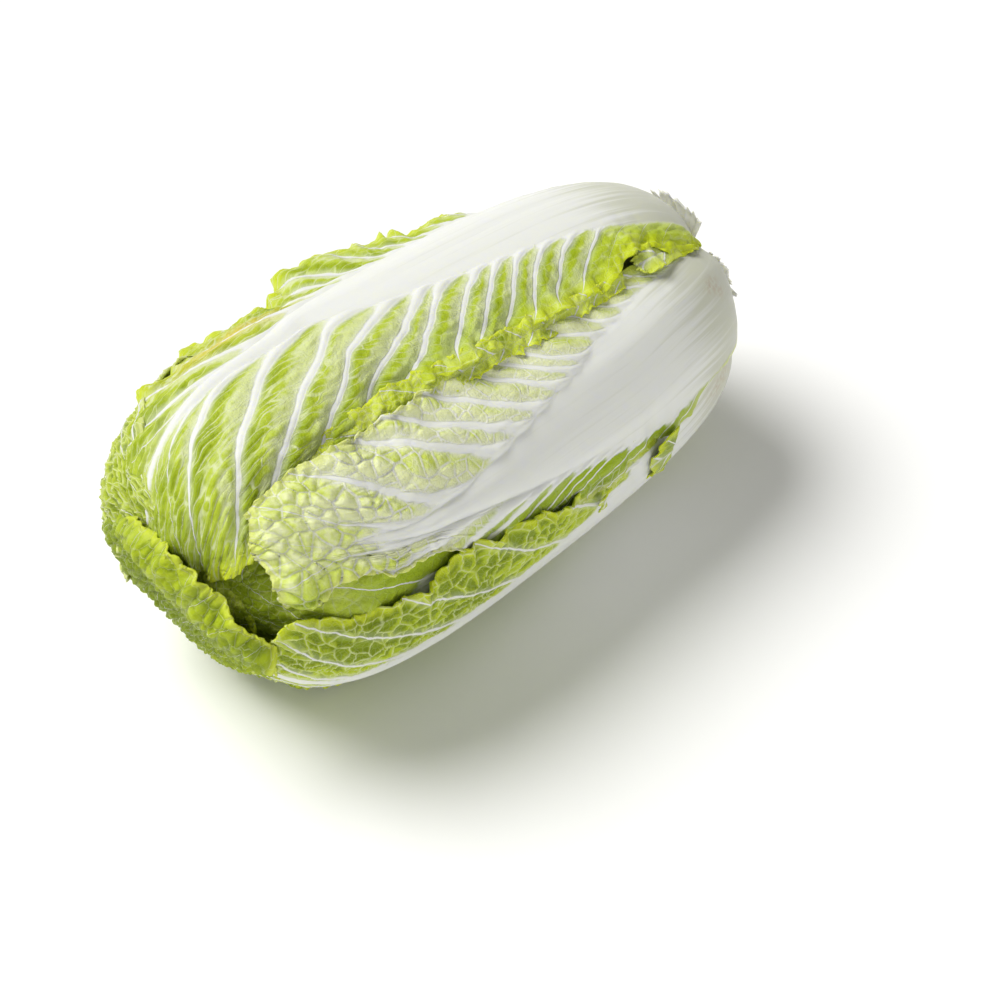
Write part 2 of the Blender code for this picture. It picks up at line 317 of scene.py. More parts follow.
def shape_leaf(options):
    """All the fields of a leaf over its grid."""
    leaf = dict(DEFAULTS)
    leaf.update(options)
    across, along = leaf["grid"]
    seed = leaf["seed"]
    u = np.linspace(-1.0, 1.0, across + 1)[None, :] * np.ones((along + 1, 1))
    v = np.linspace(0.0, 1.0, along + 1)[:, None] * np.ones((1, across + 1))
    side = np.where(u < 0, -1.0, 1.0)

    end = curve(leaf["end"], u) - teeth(u * 45.0 + 200.0, seed + 40, leaf["teeth"])
    arc = leaf["start"] + v * (end - leaf["start"])
    least = 18.0 if leaf["over_pole"] is None else 65.0
    radius = np.maximum(np.interp(arc, ARC, ARC_R), least)
    centre = curve(leaf["centre"], arc)
    per_mm = np.degrees(1.0 / radius)
    ragged = smooth(leaf["start"] + 2.0, leaf["start"] + 20.0, arc)
    near_bite = teeth(arc, seed + 20, leaf["teeth"]) * ragged * curve(leaf["teeth_near"], arc)
    far_bite = teeth(arc, seed + 30, leaf["teeth"]) * ragged * curve(leaf["teeth_far"], arc)
    near = curve(leaf["near"], arc) + near_bite * per_mm
    far = curve(leaf["far"], arc) - far_bite * per_mm
    theta = np.where(u < 0, centre + u * (centre - near), centre + u * (far - centre))
    bearing = theta - centre
    p = np.radians(bearing) * radius
    q = arc

    inset = leaf["level"] + curve(leaf["lift"], arc)
    inset = inset + curve(leaf["near_tuck"], arc) * smooth(
        curve(leaf["near_from"], arc), curve(leaf["near_to"], arc), -bearing
    )
    inset = inset + curve(leaf["far_tuck"], arc) * smooth(
        curve(leaf["far_from"], arc), curve(leaf["far_to"], arc), bearing
    )
    inset = inset + spots(leaf["dents"], theta, arc)
    base = bent(leaf, theta, arc, inset, p)

    step_u = np.gradient(base, axis=1)
    step_v = np.gradient(base, axis=0)
    length_u = np.linalg.norm(step_u, axis=-1) + 1e-9
    length_v = np.linalg.norm(step_v, axis=-1) + 1e-9
    normal = np.cross(step_u, step_v)
    normal /= np.linalg.norm(normal, axis=-1, keepdims=True) + 1e-12
    from_middle = base - np.array([SHIFT_X, SHIFT_Y, AXIS_HEIGHT])
    outward = np.sign((normal * from_middle).sum(axis=-1).mean())
    normal *= outward

    half = curve(leaf["rib"], q)
    wobble = 0.7 * noise(q / 22.0, side * 5.0, seed + 1) * smooth(24.0, 6.0, half)
    across_rib = p + wobble
    rho = np.abs(across_rib) - half
    warp = 1.6 * noise(p / 17.0, q / 17.0, seed + 2) + 0.7 * noise(p / 6.0, q / 6.0, seed + 3)
    warp *= smooth(0.0, 10.0, rho)
    near_phase, near_start = lateral_phase(leaf, q + warp, rho, -1)
    far_phase, far_start = lateral_phase(leaf, q + warp, rho, 1)
    own_phase = np.where(u < 0, near_phase, far_phase)
    phase = own_phase + np.where(u < 0, 0.0, 40.0)
    origin = np.where(u < 0, near_start, far_start)
    slope = np.hypot(np.gradient(own_phase, axis=1) / length_u, np.gradient(own_phase, axis=0) / length_v)
    gap = 1.0 / np.clip(slope, 0.02, 1.0)

    side_width = np.where(u < 0, centre - near, far - centre) / per_mm
    to_side = (1.0 - np.abs(u)) * side_width
    to_tip = end - arc
    to_margin = np.minimum(to_side, to_tip)

    thin = np.clip(0.85 - 0.5 * np.maximum(rho, 0.0) / 50.0, 0.3, 1.0)
    thin = thin * (1.0 + 1.3 * np.exp(-np.maximum(rho + 1.0, 0.0) / 5.0))
    lateral_half = curve(leaf["lateral"], origin) * thin
    lateral_half = lateral_half * np.where(u < 0, leaf["near_veins"], curve(leaf["far_veins"], origin))
    lateral_half = lateral_half * smooth(1.2, 4.0, gap) * curve(leaf["fade"], q)
    lateral_half = lateral_half * smooth(0.0, leaf["vein_stop"], to_margin)
    lateral_off = np.abs(phase - np.round(phase)) * gap
    web = curve(leaf["web"], q) * np.exp(-((lateral_off / 3.0) ** 2))
    ridge = np.exp(-((lateral_off / (lateral_half + 0.25)) ** 2) * 1.1) * np.clip(lateral_half / 0.4, 0.0, 1.0)
    grows = smooth(-1.5, 3.0, rho)

    cell = curve(leaf["cell"], q)
    if leaf["square_net"]:
        net_x = p / cell + 0.35 * noise(p / 9.0, q / 9.0, seed + 4) + 50.0
        net_y = q / cell + 0.35 * noise(p / 9.0, q / 9.0, seed + 5)
    else:
        net_x = phase * leaf["cells_across"] + 0.3 * noise(p / 5.0, q / 5.0, seed + 4)
        net_y = rho / cell + 0.3 * noise(p / 5.0, q / 5.0, seed + 5) + 30.0
    from_edge = cell_edges(net_x, net_y, NET_RANDOMNESS)
    to_edge = np.minimum(from_edge / curve(leaf["dome"], q), 1.0)
    veinlet = np.exp(-((from_edge / 0.07) ** 2))
    blister = 1.0 - (1.0 - to_edge) ** 2
    swell = curve(leaf["blister"], q + 0.5 * np.maximum(rho, 0.0))
    sunk = smooth(1.0, 4.0, gap) * np.clip(lateral_half / 0.6, 0.0, 1.0)
    off_lateral = 1.0 - sunk * np.exp(-((lateral_off / (lateral_half + 1.8)) ** 2))
    on_blade = smooth(-1.0, 4.0, rho)

    middle = np.clip(1.0 - (across_rib / np.maximum(half, 0.5)) ** 2, 0.0, 1.0)
    crown = curve(leaf["rib_height"], q) * smooth(0.5, 3.5, half) * middle**1.2
    grooves = 0.26 * noise(p / 6.5, q / 130.0, seed + 6) + 0.06 * noise(p / 2.2, q / 80.0, seed + 7)
    grooves *= smooth(-1.0, 3.0, -rho)

    side_wave = (
        1.1 * noise(arc / 9.0, side * 9.0, seed + 8)
        + 0.9 * noise(arc / 4.0, side * 3.0 + p / 30.0, seed + 9)
        + 0.3 * noise(arc / 2.0, side * 7.0 + p / 9.0, seed + 10)
    )
    tip_wave = (
        1.1 * noise(p / 9.0, 4.0 + 0.0 * p, seed + 11)
        + 0.9 * noise(p / 4.0, 2.0 + arc / 30.0, seed + 15)
        + 0.3 * noise(p / 2.0, arc / 9.0, seed + 16)
    )
    by_side = lambda key: np.where(u < 0, curve(leaf[key + "_near"], arc), curve(leaf[key + "_far"], arc))
    side_fade = np.exp(-to_side / 8.0) * ragged
    tip_fade = np.exp(-to_tip / 8.0)
    ruffle = 2.2 * (side_wave * side_fade * by_side("ruffle") + tip_wave * tip_fade * leaf["ruffle_tip"])
    roll = np.exp(-((to_side / 6.0) ** 2)) * by_side("roll") + np.exp(-((to_tip / 6.0) ** 2)) * leaf["roll_tip"]
    crumple = leaf["crumple"] * (
        noise(p / 24.0, q / 30.0, seed + 12) + 0.6 * noise(p / 9.0, q / 12.0, seed + 13)
    )
    creases = noise(own_phase * 1.7 + 9.0, rho / 2.6, seed + 17) + 0.7 * noise(own_phase * 5.0, rho / 9.0, seed + 18)
    creases = creases + 0.5 * np.abs(noise(p / 2.6, q / 3.6, seed + 19))
    creases = creases * smooth(1.5, 5.0, gap) + 0.5 * noise(p / 2.3, q / 2.8, seed + 21)
    if leaf["square_net"]:
        creases = noise(p / 4.5, q / 4.5, seed + 17) + 0.6 * noise(p / 2.2, q / 2.2, seed + 18)
    puckers = curve(leaf["wrinkle"], q) * creases * smooth(-1.0, 5.0, rho) * (0.2 + 0.8 * off_lateral)
    crumple *= smooth(-4.0, 14.0, rho)

    sheet = (
        leaf["blister_sign"] * swell * blister * on_blade * (0.1 + 0.9 * off_lateral)
        + curve(leaf["pillow"], q) * off_lateral * smooth(0.0, 14.0, rho)
        + ruffle
        + roll
        + crumple
        + puckers
    )
    net = curve(leaf["net"], q + 0.5 * np.maximum(rho, 0.0))
    ribs = crown + grooves + ridge * (0.35 + 0.6 * lateral_half) * grows
    ribs = ribs + 0.3 * net * veinlet * on_blade * off_lateral
    middle_sheet = base + normal * sheet[..., None]
    outer = base + normal * (sheet + ribs)[..., None]
    turned_v, turned_u = np.gradient(middle_sheet, axis=(0, 1))
    facing = np.cross(turned_u, turned_v) * outward
    facing /= np.linalg.norm(facing, axis=-1, keepdims=True) + 1e-12
    thick = leaf["blade"] + (leaf["petiole"] - leaf["blade"]) * smooth(-6.0, 5.0, -rho) * smooth(
        330.0, 60.0, q
    )
    inner = middle_sheet - facing * thick[..., None]
    outer[..., 2] = np.maximum(outer[..., 2], OUTER_CLEARANCE)
    inner[..., 2] = np.maximum(inner[..., 2], 3 * OUTER_CLEARANCE)

    tone = curve(leaf["tone"], arc) + 0.25 * noise(p / 30.0, q / 40.0, seed + 14)
    # the far side can be painted darker: painted shade on a side that faces down, away from the light
    tone = tone + np.where(u > 0, curve(leaf["far_painted_shade"], arc), 0.0) * smooth(2.0, 14.0, rho)
    shades = {
        "metric": np.stack([p, q, np.full_like(p, seed * 3.7)], axis=-1),
        "ribs": np.stack([web - rho, phase, gap], axis=-1),
        "zone": np.stack([to_margin, tone, net], axis=-1),
        "netting": np.stack([net_x, net_y, lateral_half], axis=-1),
        # blemishes and yellowing are the leaf's own marks; the third channel is painted shade in the valleys and under
        # overhanging leaves
        "marks": np.stack(
            [spots(leaf[key], theta, arc) for key in ("blemishes", "yellowing", "deepening")], axis=-1
        ),
    }
    return outer, inner, shades, outward


OUTER_CLEARANCE = 0.15


def shell(name, outer, inner, shades, outward):
    """A closed mesh from an outer grid and its inner grid at half the resolution, joined round the rim."""
    rows, columns = outer.shape[:2]
    half_rows, half_columns = (rows - 1) // 2 + 1, (columns - 1) // 2 + 1
    coarse = inner[::2, ::2]
    points = np.concatenate([outer.reshape(-1, 3), coarse.reshape(-1, 3)]) / 1000.0
    index = np.arange(rows * columns).reshape(rows, columns)
    under = np.arange(half_rows * half_columns).reshape(half_rows, half_columns) + rows * columns

    def quads(grid, flip):
        a, b, c, d = grid[:-1, :-1], grid[:-1, 1:], grid[1:, 1:], grid[1:, :-1]
        order = (a, d, c, b) if flip else (a, b, c, d)
        return np.stack(order, axis=-1).reshape(-1, 4)

    flip = outward < 0
    top = quads(index, flip)
    bottom = quads(under, not flip)
    rim = []
    fine_loops = (index[0, :], index[:, -1], index[-1, ::-1], index[::-1, 0])
    coarse_loops = (under[0, :], under[:, -1], under[-1, ::-1], under[::-1, 0])
    for fine, rough in zip(fine_loops, coarse_loops):
        a, m, b = fine[:-2:2], fine[1:-1:2], fine[2::2]
        c, d = rough[:-1], rough[1:]
        rim += [np.stack(t, axis=-1) for t in ((a, c, m), (m, c, d), (m, d, b))]
    rim = np.concatenate(rim)
    if flip:
        rim = rim[:, ::-1]
    mesh = bpy.data.meshes.new(name)
    loops = np.concatenate([top.reshape(-1), bottom.reshape(-1), rim.reshape(-1)]).astype(np.int32)
    sizes = np.concatenate([np.full(len(top) + len(bottom), 4), np.full(len(rim), 3)])
    starts = np.concatenate([[0], np.cumsum(sizes)[:-1]]).astype(np.int32)
    mesh.vertices.add(len(points))
    mesh.vertices.foreach_set("co", points.astype(np.float32).ravel())
    mesh.loops.add(len(loops))
    mesh.loops.foreach_set("vertex_index", loops)
    mesh.polygons.add(len(sizes))
    mesh.polygons.foreach_set("loop_start", starts)
    mesh.update(calc_edges=True)
    mesh.validate()
    mesh.shade_smooth()
    for key, value in shades.items():
        both = np.concatenate([value.reshape(-1, 3), value[::2, ::2].reshape(-1, 3)])
        attribute = mesh.attributes.new(key, "FLOAT_VECTOR", "POINT")
        attribute.data.foreach_set("vector", both.astype(np.float32).ravel())
    made = bpy.data.objects.new(name, mesh)
    bpy.context.scene.collection.objects.link(made)
    return made


# ---------------------------------------------------------------- materials
class Nodes:
    """A short way to write node trees."""

    def __init__(self, name):
        self.material = bpy.data.materials.new(name)
        self.material.use_nodes = True
        self.tree = self.material.node_tree
        self.shader = self.tree.nodes["Principled BSDF"]

    def put(self, socket, value):
        if isinstance(value, bpy.types.NodeSocket):
            self.tree.links.new(value, socket)
        elif value is not None:
            socket.default_value = value

    def maths(self, operation, a, b=None, c=None, clamp=False):
        node = self.tree.nodes.new("ShaderNodeMath")
        node.operation = operation
        node.use_clamp = clamp
        for socket, value in zip(node.inputs, (a, b, c)):
            self.put(socket, value)
        return node.outputs[0]

    def parts(self, name):
        node = self.tree.nodes.new("ShaderNodeAttribute")
        node.attribute_name = name
        split = self.tree.nodes.new("ShaderNodeSeparateXYZ")
        self.tree.links.new(node.outputs["Vector"], split.inputs[0])
        return node.outputs["Vector"], split.outputs[0], split.outputs[1], split.outputs[2]

    def step(self, value, low, high, bottom=0.0, top=1.0):
        node = self.tree.nodes.new("ShaderNodeMapRange")
        node.interpolation_type = "SMOOTHSTEP"
        for key, part in (("Value", value), ("From Min", low), ("From Max", high), ("To Min", bottom), ("To Max", top)):
            self.put(node.inputs[key], part)
        return node.outputs["Result"]

    def noise(self, vector, scale, detail=2.0, rough=0.5, dimensions="3D"):
        node = self.tree.nodes.new("ShaderNodeTexNoise")
        node.noise_dimensions = dimensions
        self.put(node.inputs["Vector"], vector)
        node.inputs["Scale"].default_value = scale
        node.inputs["Detail"].default_value = detail
        node.inputs["Roughness"].default_value = rough
        return node.outputs[0]

    def cells(self, vector, scale, randomness, feature="DISTANCE_TO_EDGE"):
        node = self.tree.nodes.new("ShaderNodeTexVoronoi")
        node.voronoi_dimensions = "2D"
        node.feature = feature
        self.put(node.inputs["Vector"], vector)
        node.inputs["Scale"].default_value = scale
        node.inputs["Randomness"].default_value = randomness
        return node.outputs["Distance"]

    def join(self, x, y, z=0.0):
        node = self.tree.nodes.new("ShaderNodeCombineXYZ")
        for socket, value in zip(node.inputs, (x, y, z)):
            self.put(socket, value)
        return node.outputs[0]

    def mix(self, share, a, b):
        node = self.tree.nodes.new("ShaderNodeMix")
        node.data_type = "RGBA"
        self.put(node.inputs[0], share)
        for socket, value in zip((node.inputs[6], node.inputs[7]), (a, b)):
            self.put(socket, (*value, 1.0) if isinstance(value, tuple) else value)
        return node.outputs[2]

    def bump(self, height, strength, distance, normal=None):
        node = self.tree.nodes.new("ShaderNodeBump")
        node.inputs["Strength"].default_value = strength
        node.inputs["Distance"].default_value = distance
        self.put(node.inputs["Height"], height)
        self.put(node.inputs["Normal"], normal)
        return node.outputs[0]


WHITE = (0.80, 0.81, 0.775)
SHADED_WHITE = (0.61, 0.62, 0.52)
NET_GREEN = (0.70, 0.76, 0.42)
PALE = (0.60, 0.68, 0.22)
GREEN = (0.47, 0.57, 0.045)
DEEP = (0.22, 0.30, 0.004)
# deep green for painted shade in the valleys and under overhanging leaves
PAINTED_SHADE_GREEN = (0.33, 0.45, 0.008)
# the edge's own yellow-green, brightened by painted light shining through the thin edge
MARGIN_GREEN_AND_GLOW = (0.60, 0.69, 0.015)
PINKISH = (0.50, 0.34, 0.22)
YELLOW = (0.72, 0.60, 0.08)


def leaf_material(name, pale=PALE, green=GREEN, deep=DEEP, vein=WHITE, net_vein=NET_GREEN, petiole=SHADED_WHITE, margin=MARGIN_GREEN_AND_GLOW, margin_width=7.0, cell_painted_shading=0.2, halo_share=0.3, painted_slope_light=0.0):
    n = Nodes(name)
    metric, p, q, _ = n.parts("metric")
    _, inside, phase, gap = n.parts("ribs")
    _, margin_off, tone, net = n.parts("zone")
    net_at, net_x, net_y, lateral_half = n.parts("netting")
    _, blemish, yellowing, deepening = n.parts("marks")

    grain = n.noise(metric, 0.09, 3.0)
    fine = n.noise(metric, 0.55, 3.0)
    # The midrib and petiole
    edge = n.maths("MULTIPLY_ADD", n.maths("SUBTRACT", fine, 0.5), 2.0, inside)
    rib = n.step(edge, -1.2, 0.8)
    rib_halo = n.step(edge, -7.0, 0.5)
    # The laterals
    share = n.maths("ABSOLUTE", n.maths("SUBTRACT", n.maths("FRACT", n.maths("ADD", phase, 0.5)), 0.5))
    off = n.maths("MULTIPLY", share, gap)
    thin = n.maths("MULTIPLY", lateral_half, 0.7)
    thick = n.maths("MULTIPLY_ADD", lateral_half, 1.35, 0.01)
    lateral = n.step(off, thin, thick, 1.0, 0.0)
    halo = n.step(off, lateral_half, n.maths("ADD", lateral_half, 3.0), 1.0, 0.0)
    strong = n.maths("MINIMUM", n.maths("MULTIPLY", lateral_half, 1.2), 1.0)
    # The net between them
    cell = n.cells(net_at, 1.0, NET_RANDOMNESS)
    net_width = n.maths("MULTIPLY_ADD", net, 0.05, 0.02)
    net_line = n.step(cell, n.maths("MULTIPLY", net_width, 0.3), n.maths("MULTIPLY", net_width, 1.5), 1.0, 0.0)
    small = n.cells(n.join(n.maths("MULTIPLY", net_x, 2.9), n.maths("MULTIPLY", net_y, 2.9)), 1.0, 1.0)
    small_line = n.step(small, 0.02, 0.12, 1.0, 0.0)
    net_mask = n.maths("MULTIPLY", net_line, n.maths("MULTIPLY_ADD", net, 0.75, 0.18), clamp=True)
    faded = n.noise(metric, 0.16, 2.0)
    net_mask = n.maths("MULTIPLY", net_mask, n.step(faded, 0.3, 0.6, 0.35, 1.0))
    small_mask = n.maths("MULTIPLY", n.maths("MULTIPLY", small_line, net), 0.16, clamp=True)

    shade = n.maths("MULTIPLY_ADD", n.maths("SUBTRACT", grain, 0.5), 1.3, tone)
    # cell centres painted darker for a positive strength and paler for a negative one: painted shade in sunken cells,
    # painted highlight on puffed ones
    shade = n.maths("MULTIPLY_ADD", n.step(cell, 0.05, 0.35, -0.5, 0.5), cell_painted_shading, shade)
    shade = n.maths("MULTIPLY_ADD", n.maths("SUBTRACT", fine, 0.5), 0.5, shade)
    # Between two laterals one half is painted paler and the other darker: painted light and shade on the slopes either
    # side of a lateral, the tip side lit where the strength is positive
    lean = n.maths("SINE", n.maths("MULTIPLY", phase, 2.0 * math.pi))
    shade = n.maths("MULTIPLY_ADD", n.maths("MULTIPLY", lean, strong), -painted_slope_light, shade)
    blade = n.mix(n.step(shade, 0.0, 0.5), pale, green)
    blade = n.mix(n.step(shade, 0.5, 1.0), blade, deep)
    # the edge turns bright yellow-green: partly its own colour, partly painted light shining through the thin edge
    blade = n.mix(n.step(margin_off, margin_width, 0.5, 0.0, 0.85), blade, margin)
    blade = n.mix(n.maths("MULTIPLY", rib_halo, 0.4), blade, pale)
    blade = n.mix(n.maths("MULTIPLY", halo, n.maths("MULTIPLY", strong, halo_share)), blade, vein)
    blade = n.mix(n.maths("MULTIPLY", yellowing, 1.0, clamp=True), blade, YELLOW)
    streaks = n.noise(n.join(n.maths("MULTIPLY", p, 0.4), n.maths("MULTIPLY", q, 0.010)), 1.0, 4.0)
    # the petiole is painted darker towards the stump: painted shade where it turns away from the light
    depth = n.step(q, 45.0, 120.0, -0.25, 0.3)
    streaks = n.maths("ADD", depth, streaks)
    white = n.mix(n.step(streaks, 0.35, 0.75), petiole, vein)
    blade = n.mix(small_mask, blade, net_vein)
    blade = n.mix(net_mask, blade, net_vein)
    # painted shade: the blade turns deep green in the valleys and under overhanging leaves
    blade = n.mix(n.maths("MULTIPLY", deepening, 1.0, clamp=True), blade, PAINTED_SHADE_GREEN)
    blade = n.mix(lateral, blade, vein)
    colour = n.mix(rib, blade, white)
    worn = n.maths("MULTIPLY", blemish, n.step(fine, 0.35, 0.65), clamp=True)
    colour = n.mix(worn, colour, PINKISH)
    n.put(n.shader.inputs["Base Color"], colour)

    tiny = n.noise(metric, 1.6, 2.0)
    on_blade = n.maths("SUBTRACT", 1.0, n.maths("MAXIMUM", rib, lateral))
    height = n.maths("MULTIPLY_ADD", net_mask, 0.5, n.maths("MULTIPLY", small_mask, 0.8))
    height = n.maths("MULTIPLY", height, on_blade)
    height = n.maths("MULTIPLY_ADD", n.maths("MULTIPLY", fine, on_blade), 1.1, height)
    height = n.maths("MULTIPLY_ADD", n.maths("MULTIPLY", tiny, on_blade), 0.5, height)
    height = n.maths("MULTIPLY_ADD", streaks, 0.3, height)
    n.put(n.shader.inputs["Normal"], n.bump(height, 0.6, 0.0008))
    n.put(n.shader.inputs["Roughness"], n.step(fine, 0.2, 0.8, 0.34, 0.50))
    n.shader.inputs["Specular IOR Level"].default_value = 0.3
    n.shader.inputs["Subsurface Weight"].default_value = 0.35
    n.shader.inputs["Subsurface Radius"].default_value = (1.0, 1.0, 0.2)
    n.shader.inputs["Subsurface Scale"].default_value = 0.0012
    n.shader.inputs["IOR"].default_value = 1.4
    return n.material


def plain_material(name, colour, dark, scale):
    n = Nodes(name)
    where = n.tree.nodes.new("ShaderNodeTexCoord").outputs["Object"]
    grain = n.noise(where, scale, 4.0)
    n.put(n.shader.inputs["Base Color"], n.mix(n.step(grain, 0.3, 0.7), colour, dark))
    n.put(n.shader.inputs["Normal"], n.bump(grain, 0.3, 0.0008))
    n.shader.inputs["Roughness"].default_value = 0.5
    n.shader.inputs["Subsurface Weight"].default_value = 0.3
    n.shader.inputs["Subsurface Radius"].default_value = (1.0, 1.0, 0.5)
    n.shader.inputs["Subsurface Scale"].default_value = 0.003
    return n.material


